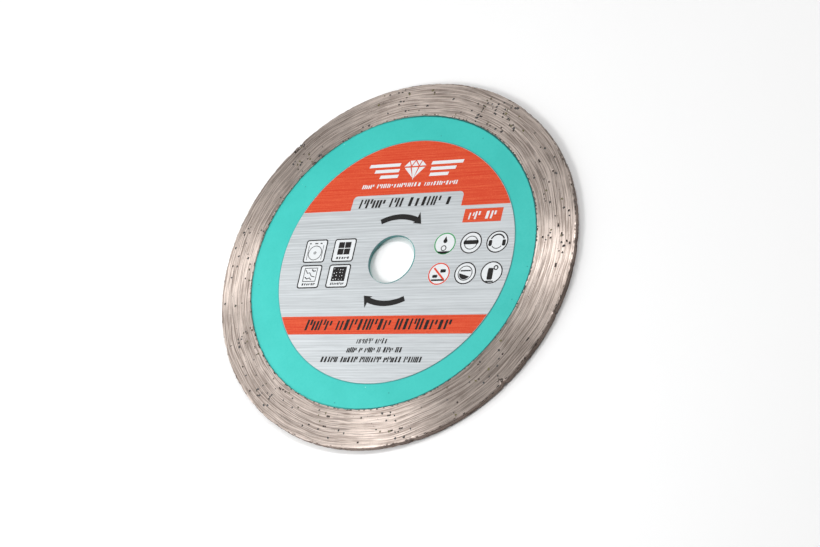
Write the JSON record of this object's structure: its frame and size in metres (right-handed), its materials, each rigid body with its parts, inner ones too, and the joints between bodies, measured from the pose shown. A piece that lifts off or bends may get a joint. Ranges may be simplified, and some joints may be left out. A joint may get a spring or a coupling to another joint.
{
  "type": "diamond blade",
  "caption": "Continuous-rim diamond blade for tile: painted steel core with a plain bore, sintered diamond rim gripping its edge, foil label on the front face.",
  "frame": {"origin": "on the bore axis, in the plane of the rim's back face, which the blade lies on", "axes": "+Z along the bore axis towards the label; +X along the label's lines of print, to the right as they are read"},
  "size_m": [0.076, 0.076, 0.0016],
  "materials": {
    "core_paint": "satin",
    "sintered_rim": "satin",
    "label_foil": "satin"
  },
  "bodies": {
    "root": {"steel_core": "core_paint", "diamond_rim": "sintered_rim", "face_label": "label_foil"}
  },
  "joints": []
}
